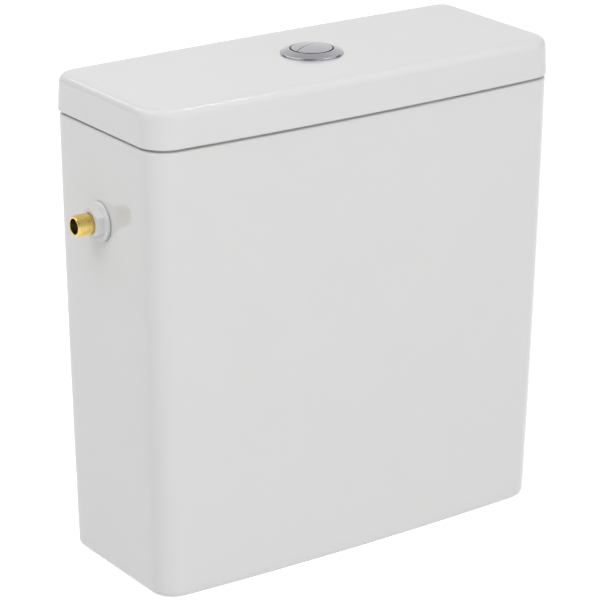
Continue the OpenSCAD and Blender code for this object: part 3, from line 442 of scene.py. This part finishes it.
DRESSES = {
    "white_glaze": glaze,
    "chrome": chrome,
    "brass": brass,
    "white_plastic": moulded(WHITE_PLASTIC_TONES),
    "grey_plastic": moulded(GREY_PLASTIC_TONES),
    "blue_plastic": moulded(BLUE_PLASTIC_TONES),
    "dark_rubber": rubber,
    "grey_foam": foam,
    "plated_steel": plated_steel,
    "spring_steel": spring_wire,
}
CLAY = new_finish("bare_clay_finish", bare_clay)
FINISHES = {slot: new_finish(slot + "_finish", dress) for slot, dress in DRESSES.items()}


def new_object(name, data):
    made = bpy.data.objects.new(name, data)
    bpy.context.scene.collection.objects.link(made)
    return made


def piece(bm, name, body, slot, *finishes):
    """Closes the mesh, gives it its finish and lets it stand for the CAD node of its name."""
    bmesh.ops.remove_doubles(bm, verts=bm.verts[:], dist=MERGE)
    bmesh.ops.recalc_face_normals(bm, faces=bm.faces[:])
    for face in bm.faces:
        face.smooth = True
    mesh = bpy.data.meshes.new(name + "_shape")
    bm.to_mesh(mesh)
    bm.free()
    mesh.set_sharp_from_angle(angle=SHARP)
    for finish in (FINISHES[slot], *finishes):
        mesh.materials.append(finish)
    made = new_object(name + "_visual", mesh)
    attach(made, body)
    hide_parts(name)
    return made


def rounded(bm, geom, radius, affect, segments=ROUND_SEGMENTS):
    """Rounds corners, where affect is "VERTICES", or edges, where it is "EDGES"."""
    bmesh.ops.bevel(
        bm, geom=geom, offset=radius, segments=segments, profile=0.5, affect=affect, material=-1)


def edges_in(geom):
    return [g for g in geom if isinstance(g, bmesh.types.BMEdge)]


def new_edges(bm, known):
    return [e for e in bm.edges if e not in known]


def round_loop(bm, spot, radius, count):
    """A level circle of edges about the spot."""
    known = set(bm.edges)
    bmesh.ops.create_circle(bm, segments=count, radius=radius, matrix=Matrix.Translation(spot))
    return new_edges(bm, known)


def quarter(start, end, first):
    """(height, inset) pairs on a quarter round that sets off along first, which is "height" or "inset"."""
    pairs = []
    for i in range(ROUND_STEPS + 1):
        angle = math.pi / 2 * i / ROUND_STEPS
        lead, lag = math.sin(angle), 1 - math.cos(angle)
        up, across = (lead, lag) if first == "height" else (lag, lead)
        pairs.append((start[0] + (end[0] - start[0]) * up, start[1] + (end[1] - start[1]) * across))
    return pairs


def ceramic_loop(bm, z, half_w, front_y, back_y, inside):
    """Plan of the ceramic at one height: round corners, straight sides and back, bowed front."""
    known = set(bm.edges)
    spots = ((-half_w, front_y), (half_w, front_y), (half_w, back_y), (-half_w, back_y))
    corners = [bm.verts.new((x, y, z)) for x, y in spots]
    bm.faces.new(corners)
    for pair, radius in ((corners[:2], FRONT_CORNER_R), (corners[2:], BACK_CORNER_R)):
        rounded(bm, pair, max(radius - inside, LEAST_CORNER_R), "VERTICES", CORNER_STEPS)
    bmesh.ops.delete(bm, geom=bm.faces[:], context="FACES_ONLY")
    runs = sorted(new_edges(bm, known), key=lambda e: e.calc_length())
    bmesh.ops.subdivide_edges(bm, edges=runs[-2:], cuts=LONG_CUTS)
    bmesh.ops.subdivide_edges(bm, edges=runs[-4:-2], cuts=SHORT_CUTS)
    loop = new_edges(bm, known)
    for vert in {v for e in loop for v in e.verts}:
        share = (back_y - vert.co.y) / (back_y - front_y)
        vert.co.y += share * vert.co.x ** 2 / (2 * BOW_R)
    return loop


def tank_loop(bm, z, inset):
    """Plan of the tank at height z, tapered and slightly swollen half way down."""
    fall = (TANK_H - z) / TANK_H
    swell = SWELL * 4 * fall * (1 - fall)
    half_w = LID_HALF_W - OVERHANG - SIDE_TAPER * fall + swell - inset
    front_y = OVERHANG - LID_HALF_D + FRONT_TAPER * fall - swell + inset
    return ceramic_loop(bm, z, half_w, front_y, LID_HALF_D - OVERHANG - inset, OVERHANG + inset)


def lid_loop(bm, z, inset):
    """Plan of the lid at height z, drawn in towards its top."""
    draw = inset + LID_DRAFT * max(z - TANK_H, 0) / LID_H
    return ceramic_loop(bm, z, LID_HALF_W - draw, draw - LID_HALF_D, LID_HALF_D - draw, inset)


def skin(bm, loops):
    """Walls between each loop and the next one, which is held up while they are joined."""
    strips = []
    for low, high in zip(loops, loops[1:]):
        held = list({v for e in high for v in e.verts})
        bmesh.ops.translate(bm, verts=held, vec=UP)
        strips.append(bmesh.ops.bridge_loops(bm, edges=low + high))
        bmesh.ops.translate(bm, verts=held, vec=-UP)
    return strips


def steps(low, high, count):
    return [low + (high - low) * i / count for i in range(count + 1)]


def ceramic_tank():
    """Shell from the recess under the floor, round the skirt, up the outside and down to the floor."""
    inner = WALL + FLOOR_R
    rebate_z = TANK_H - REBATE_DROP
    foot = [(SKIRT_H, SKIRT_T + RECESS_R + BESIDE)]
    foot += quarter((SKIRT_H, SKIRT_T + RECESS_R), (SKIRT_H - RECESS_R, SKIRT_T), "inset")
    foot += quarter((RIM_R, SKIRT_T), (0, SKIRT_T - RIM_R), "height")
    outside = quarter((0, BOTTOM_EDGE_R), (BOTTOM_EDGE_R, 0), "inset")
    outer_steps = steps(BOTTOM_EDGE_R + BESIDE, rebate_z - MOUTH_EDGE_R - BESIDE, WALL_STEPS)
    outside += [(z, 0) for z in outer_steps]
    outside += quarter((rebate_z - MOUTH_EDGE_R, 0), (rebate_z, MOUTH_EDGE_R), "height")
    outside += [(rebate_z, REBATE_W)]
    outside += quarter((TANK_H - RIM_R, REBATE_W), (TANK_H, REBATE_W + RIM_R), "height")
    inside = quarter((TANK_H, WALL - RIM_R), (TANK_H - RIM_R, WALL), "inset")
    inner_steps = steps(FLOOR_Z + FLOOR_R + BESIDE, TANK_H - RIM_R - BESIDE, WALL_STEPS)
    inside += [(z, WALL) for z in reversed(inner_steps)]
    inside += quarter((FLOOR_Z + FLOOR_R, WALL), (FLOOR_Z, inner), "height")
    inside += [(FLOOR_Z, inner + BESIDE)]
    bm = bmesh.new()
    loops = [tank_loop(bm, z, inset) for z, inset in foot + outside + inside]
    strips = skin(bm, loops)
    ends = bmesh.ops.edgeloop_fill(bm, edges=loops[0])["faces"]
    ends += bmesh.ops.edgeloop_fill(bm, edges=loops[-1])["faces"]
    # The glaze ends inside the rim's inner round and under the bottom edge; the rest is bare clay
    glazed = range(len(foot), len(foot + outside) + ROUND_STEPS)
    for i, strip in enumerate(strips):
        for face in strip["faces"]:
            face.material_index = 0 if i in glazed else 1
    for face in ends:
        face.material_index = 1
    piece(bm, "tank", "cistern", "white_glaze", CLAY)


def ceramic_lid():
    """Shell from the top's edge down the side, under the foot, round the lip and up into the hollow."""
    edge_z = TANK_H + LID_H
    side_top = edge_z - LID_EDGE_R
    hollow = LIP_INSET + LIP_T
    lip_z = TANK_H - LIP_H
    foot_z = TANK_H - LID_FOOT_DROP
    shell = [(edge_z, LID_EDGE_R + BESIDE)]
    shell += quarter((edge_z, LID_EDGE_R), (side_top, 0), "inset")
    shell += [(side_top - BESIDE, 0), (foot_z + LID_FOOT_R + BESIDE, 0)]
    shell += quarter((foot_z + LID_FOOT_R, 0), (foot_z, LID_FOOT_R), "height")
    under = [(foot_z, LID_FOOT_W), (TANK_H, LID_FOOT_W), (TANK_H, LIP_INSET - BESIDE)]
    under += [(TANK_H, LIP_INSET), (TANK_H - BESIDE, LIP_INSET)]
    under += quarter((lip_z + LIP_R, LIP_INSET), (lip_z, LIP_INSET + LIP_R), "height")
    under += quarter((lip_z, hollow - LIP_R), (lip_z + LIP_R, hollow), "inset")
    under += quarter((LID_UNDER_Z - HOLLOW_R, hollow), (LID_UNDER_Z, hollow + HOLLOW_R), "height")
    under += [(LID_UNDER_Z, hollow + HOLLOW_R + BESIDE)]
    bm = bmesh.new()
    loops = [lid_loop(bm, z, inset) for z, inset in shell + under]
    low_hole, top_hole = (
        round_loop(bm, (0, 0, z), LID_HOLE_R, LOOP_STEPS) for z in (LID_UNDER_Z, edge_z))
    strips = skin(bm, loops)
    strips += skin(bm, [loops[-1], low_hole, top_hole])
    # The underside and the button's hole are bare clay
    for strip in strips[len(shell):]:
        for face in strip["faces"]:
            face.material_index = 1
    spokes = skin(bm, [top_hole, loops[0]])[0]["edges"]
    bmesh.ops.subdivide_edges(bm, edges=spokes, cuts=TOP_CUTS, use_grid_fill=True)
    for vert in bm.verts:
        if vert.co.z > side_top - MERGE:
            vert.co.z += LID_CROWN * (1 - (vert.co.x / LID_HALF_W) ** 2)
    piece(bm, "lid", "lid", "white_glaze", CLAY)


def profile(bm, points, closed=True):
    """Wire through (radius, height, round) points, open from the last to the first if not closed."""
    verts = [bm.verts.new((r, 0, z)) for r, z, _ in points]
    bm.faces.new(verts)
    gap = (verts[-1].co + verts[0].co) / 2
    for vert, (_, _, radius) in zip(verts, points):
        if radius:
            rounded(bm, [vert], radius, "VERTICES")
    bmesh.ops.delete(bm, geom=bm.faces[:], context="FACES_ONLY")
    if not closed:
        bm.edges.remove(min(bm.edges, key=lambda e: ((e.verts[0].co + e.verts[1].co) / 2 - gap).length))


def lathe(points, closed=True):
    """A bmesh turned about Z from (radius, height, round) points."""
    bm = bmesh.new()
    profile(bm, points, closed)
    bmesh.ops.spin(
        bm, geom=bm.verts[:] + bm.edges[:], cent=(0, 0, 0), axis=UP, angle=2 * math.pi,
        steps=TURN_STEPS, use_merge=True)
    return bm


def joined(bm, other):
    """Adds the other bmesh's shape to the first one."""
    spare = bpy.data.meshes.new("spare")
    other.to_mesh(spare)
    other.free()
    bm.from_mesh(spare)
    bpy.data.meshes.remove(spare)
    return bm


def bezel_ring():
    """Ring with its shank, whose floor has a hole for each push rod."""
    rim_z, top_z = LID_TOP_Z + BEZEL_RIM_H, LID_TOP_Z + BEZEL_H
    bm = lathe([
        (SHANK_R, SHANK_LOW_Z, 0), (SHANK_R, LID_TOP_Z, 0),
        (BEZEL_R, LID_TOP_Z, 0), (BEZEL_R, rim_z, BEZEL_RIM_R),
        (BEZEL_BORE_R + BEZEL_LAND, top_z, BEZEL_ROUND), (BEZEL_BORE_R, top_z, BEZEL_ROUND),
        (BEZEL_BORE_R, SHANK_FLOOR_Z, 0),
    ], closed=False)
    bmesh.ops.remove_doubles(bm, verts=bm.verts[:], dist=MERGE)
    rims = [e for e in bm.edges if e.is_boundary]
    holes = {}
    for z in (SHANK_LOW_Z, SHANK_FLOOR_Z):
        flat = [e for e in rims if abs(e.verts[0].co.z - z) < MERGE]
        for y in (FULL_ROD_Y, HALF_ROD_Y):
            holes[y, z] = round_loop(bm, (0, y, z), ROD_HOLE_R, ROD_HOLE_STEPS)
            flat += holes[y, z]
        bmesh.ops.triangle_fill(bm, use_beauty=True, edges=flat)
    for y in (FULL_ROD_Y, HALF_ROD_Y):
        bmesh.ops.bridge_loops(bm, edges=holes[y, SHANK_LOW_Z] + holes[y, SHANK_FLOOR_Z])
    bm.transform(VALVE_TURN)
    piece(bm, "bezel", "lid", "chrome")


def flush_button(name, body, split_r, rim_side, middle_y):
    """One half of the split cap: the rim runs from corner to corner on rim_side, 1 or -1 in y."""
    split_y = SPLIT_OFFSET - SPLIT_R
    meet_y = (split_r ** 2 - BUTTON_R ** 2 - split_y ** 2) / (-2 * split_y)
    meet_x = math.sqrt(BUTTON_R ** 2 - meet_y ** 2)
    rim_turn = rim_side * math.pi - 2 * math.asin(meet_y / BUTTON_R)
    split_turn = -2 * math.asin(meet_x / split_r)
    bm = bmesh.new()
    corner = bm.verts.new((meet_x, meet_y, BUTTON_LOW_Z))
    far = bmesh.ops.spin(
        bm, geom=[corner], cent=(0, 0, BUTTON_LOW_Z), axis=UP, angle=rim_turn,
        steps=BUTTON_RIM_STEPS)["geom_last"]
    bmesh.ops.spin(
        bm, geom=far, cent=(0, split_y, BUTTON_LOW_Z), axis=UP, angle=split_turn, steps=SPLIT_STEPS)
    bmesh.ops.remove_doubles(bm, verts=bm.verts[:], dist=MERGE)
    cap = bmesh.ops.edgeloop_fill(bm, edges=bm.edges[:])["faces"][0]
    raised_cap = bmesh.ops.extrude_face_region(bm, geom=[cap])["geom"]
    lifted = [g for g in raised_cap if isinstance(g, bmesh.types.BMVert)]
    bmesh.ops.translate(bm, verts=lifted, vec=UP * (BUTTON_EDGE_Z - BUTTON_LOW_Z))
    corners = [
        e for e in bm.edges
        if abs(e.verts[0].co.z - e.verts[1].co.z) > BUTTON_ROUND
        and abs(abs(e.verts[0].co.x) - meet_x) < MERGE and abs(e.verts[0].co.y - meet_y) < MERGE]
    rounded(bm, corners, BUTTON_CORNER_R, "EDGES")
    top = max(bm.faces, key=lambda f: f.calc_center_median().z)
    rounded(bm, top.edges[:], BUTTON_ROUND, "EDGES")
    top = max(bm.faces, key=lambda f: f.calc_center_median().z)
    middle = Matrix.Translation((0, -middle_y, 0))
    for left in range(BUTTON_RINGS, 1, -1):
        top = bmesh.ops.extrude_discrete_faces(bm, faces=[top])["faces"][0]
        share = (left - 1) / left
        bmesh.ops.scale(bm, vec=(share, share, 1), space=middle, verts=top.verts[:])
    for vert in bm.verts:
        if vert.co.z > BUTTON_EDGE_Z - BUTTON_ROUND - MERGE:
            out = min(vert.co.xy.length / (BUTTON_R - BUTTON_ROUND), 1)
            vert.co.z += BUTTON_DOME * (1 - out ** 2)
    bm.transform(VALVE_TURN)
    piece(bm, name, body, "chrome")


def button_spring(name, rod_y):
    """Coil of round wire about the push rod."""
    low = SHANK_FLOOR_Z + SPRING_END
    pitch = (BUTTON_LOW_Z - SPRING_END - low) / SPRING_CURLS
    lean = math.pi / 2 + math.atan2(pitch, 2 * math.pi * SPRING_R)
    at = Matrix.Translation((SPRING_R, rod_y, low)) @ Matrix.Rotation(lean, 4, "X")
    bm = bmesh.new()
    bmesh.ops.create_circle(bm, segments=WIRE_STEPS, radius=WIRE_R, matrix=at)
    first = bm.edges[:]
    last = bmesh.ops.spin(
        bm, geom=bm.verts[:] + first, cent=(0, rod_y, low), axis=UP, dvec=UP * (pitch / CURL_STEPS),
        angle=2 * math.pi * SPRING_CURLS, steps=SPRING_CURLS * CURL_STEPS)["geom_last"]
    bmesh.ops.edgeloop_fill(bm, edges=first)
    bmesh.ops.edgeloop_fill(bm, edges=edges_in(last))
    bm.transform(VALVE_TURN)
    made = piece(bm, name, "lid", "spring_steel")
    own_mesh(made)


def inlet_tail():
    """Brass tail: spigot and shoulder inside the wall, neck through it, threaded end outside."""
    shoulder_out = -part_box("inlet_washer")[1].x
    shoulder_in = shoulder_out - SHOULDER_T
    spigot_end = shoulder_in - SPIGOT_LEN
    root_r = INLET_R - THREAD_DEPTH
    nut_end = INLET_SEAT + NUT_H
    bm = lathe([
        (INLET_BORE_R, spigot_end, EDGE_ROUND), (SPIGOT_R, spigot_end, EDGE_ROUND),
        (SPIGOT_R, shoulder_in, 0), (SHOULDER_R, shoulder_in, EDGE_ROUND),
        (SHOULDER_R, shoulder_out, EDGE_ROUND), (INLET_NECK_R, shoulder_out, 0),
        (INLET_NECK_R, nut_end, 0), (root_r, nut_end, 0), (root_r, INLET_END - INLET_CHAMFER, 0),
        (INLET_R - INLET_CHAMFER, INLET_END, 0), (INLET_BORE_R, INLET_END, INLET_CHAMFER / 2),
    ])
    ridge = bmesh.new()
    low = nut_end + THREAD_PITCH
    turns = math.floor((INLET_END - INLET_CHAMFER / 2 - low) / THREAD_PITCH)
    foot_r = root_r - THREAD_DEPTH
    spots = ((foot_r, -THREAD_FOOT), (INLET_R, -THREAD_CREST), (INLET_R, THREAD_CREST), (foot_r, THREAD_FOOT))
    verts = [ridge.verts.new((r, 0, low + z * THREAD_PITCH)) for r, z in spots]
    ridge.faces.new(verts)
    last = bmesh.ops.spin(
        ridge, geom=verts + ridge.edges[:], cent=(0, 0, 0), axis=UP, dvec=UP * (THREAD_PITCH / TURN_STEPS),
        angle=2 * math.pi * turns, steps=turns * TURN_STEPS)["geom_last"]
    bmesh.ops.edgeloop_fill(ridge, edges=edges_in(last))
    joined(bm, ridge).transform(INLET)
    piece(bm, "inlet_tail", "cistern", "brass")


def inlet_nut():
    """White nut: a turned blank cut to its flats, on a round flange with an undercut."""
    corner_r = NUT_AF / math.sqrt(3)
    top = INLET_SEAT + NUT_H
    bm = lathe([
        (NUT_BORE_R, INLET_SEAT, 0), (corner_r, INLET_SEAT, 0), (corner_r, top - NUT_CHAMFER, 0),
        (NUT_AF / 2 - NUT_CHAMFER / 2, top, 0), (NUT_BORE_R, top, EDGE_ROUND),
    ])
    side_turn = 360 / NUT_SIDES
    for i in range(NUT_SIDES):
        angle = math.radians(side_turn / 2 + side_turn * i)
        out = Vector((math.cos(angle), math.sin(angle), 0))
        cut = bmesh.ops.bisect_plane(
            bm, geom=bm.verts[:] + bm.edges[:] + bm.faces[:], dist=MERGE, plane_co=out * NUT_AF / 2,
            plane_no=out, clear_outer=True)["geom_cut"]
        bmesh.ops.edgeloop_fill(bm, edges=edges_in(cut))
    flange_bore = (NUT_BORE_R + NUT_AF / 2) / 2
    foot_r = FLANGE_R - FLANGE_FOOT
    flange = lathe([
        (flange_bore, INLET_SEAT, 0), (foot_r, INLET_SEAT, 0), (foot_r, INLET_SEAT + FLANGE_LIFT, 0),
        (FLANGE_R, INLET_SEAT + FLANGE_LIFT, EDGE_ROUND / 2),
        (FLANGE_R, INLET_SEAT + FLANGE_T, 2 * EDGE_ROUND), (flange_bore, INLET_SEAT + FLANGE_T, 0),
    ])
    joined(bm, flange).transform(INLET)
    piece(bm, "inlet_nut", "cistern", "white_plastic")


def aimed(made, at, to):
    """Puts a lamp or the camera in its place and turns it to its aim."""
    made.location = at
    made.rotation_euler = (Vector(to) - Vector(at)).to_track_quat("-Z", "Y").to_euler()


def photo_camera():
    lens = bpy.data.cameras.new("photo_camera")
    lens.lens = LENS_LENGTH
    lens.sensor_width = SENSOR_WIDTH
    lens.shift_x, lens.shift_y = LENS_SHIFT
    made = new_object("photo_camera", lens)
    aimed(made, CAMERA_AT, CAMERA_TO)
    bpy.context.scene.camera = made


def softbox(name, at, to, size, power, mirrored):
    lamp = bpy.data.lights.new(name, "AREA")
    lamp.shape = "RECTANGLE"
    lamp.size, lamp.size_y = size
    lamp.energy = power
    made = new_object(name, lamp)
    aimed(made, at, to)
    made.visible_glossy = mirrored


def seen_rays(pen):
    """1 for what the eye, a mirror or glass sees, 0 for light on the object."""
    eye, mirror, glass = (
        pen.node("ShaderNodeLightPath", {}, {}, name)
        for name in ("Is Camera Ray", "Is Glossy Ray", "Is Transmission Ray"))
    return between(eye + mirror + glass, 0, 1)


def studio_floor():
    material = bpy.data.materials.new("studio_floor_finish")
    pen = blank_nodes(material)
    paper = pen.node("ShaderNodeBsdfDiffuse", {}, {"Color": FLOOR_PAPER})
    glow = pen.node("ShaderNodeEmission", {}, {"Color": WHITE, "Strength": FLOOR_GLOW * seen_rays(pen)})
    both = pen.node("ShaderNodeAddShader", {}, {0: paper, 1: glow})
    pen.node("ShaderNodeOutputMaterial", {}, {"Surface": both})
    bm = bmesh.new()
    bmesh.ops.create_grid(
        bm, x_segments=1, y_segments=1, size=FLOOR_SIZE, matrix=Matrix.Translation((0, 0, -FLOOR_DROP)))
    mesh = bpy.data.meshes.new("studio_floor")
    bm.to_mesh(mesh)
    bm.free()
    mesh.materials.append(material)
    new_object("studio_floor", mesh)


def studio_world():
    """White for the eye, an even fill for the object, and walls with dark sides for metal to mirror."""
    world = bpy.data.worlds.new("studio_world")
    pen = blank_nodes(world)
    way = pen.node("ShaderNodeTexCoord", {}, {}, "Generated")
    rise = pen.node("ShaderNodeSeparateXYZ", {}, {"Vector": way}, "Z")
    walls = tinted(between(rise, CEILING_FROM, CEILING_TO), CEILING_TONES)
    for side, edge, middle in DARK_SIDES:
        towards = Vector(side).normalized()
        facing = pen.node(
            "ShaderNodeVectorMath", {"operation": "DOT_PRODUCT"}, {0: way, 1: towards}, "Value")
        walls = mixed(walls, DARK_SIDE, between(facing, edge, middle))
    mirrored = pen.node("ShaderNodeLightPath", {}, {}, "Is Glossy Ray")
    fill = pen.node("ShaderNodeBackground", {}, {"Color": WHITE, "Strength": FILL_LIGHT})
    room = pen.node("ShaderNodeBackground", {}, {"Color": mixed(WHITE, walls, mirrored), "Strength": 1})
    both = pen.node("ShaderNodeMixShader", {}, {0: seen_rays(pen), 1: fill, 2: room})
    pen.node("ShaderNodeOutputWorld", {}, {"Surface": both})
    bpy.context.scene.world = world


photo_camera()
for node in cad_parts.values():
    for slot in node.material_slots:
        slot.material = FINISHES[slot.material.name]

ceramic_tank()
ceramic_lid()
bezel_ring()
flush_button("full_flush_button", "full_button", SPLIT_R - SPLIT_GAP / 2, -1, FULL_ROD_Y)
flush_button("half_flush_button", "half_button", SPLIT_R + SPLIT_GAP / 2, 1, HALF_ROD_Y)
button_spring("full_button_spring", FULL_ROD_Y)
button_spring("half_button_spring", HALF_ROD_Y)
inlet_tail()
inlet_nut()

studio_floor()
studio_world()
for lamp in SOFTBOXES:
    softbox(*lamp)
bpy.context.scene.view_settings.view_transform = "Standard"
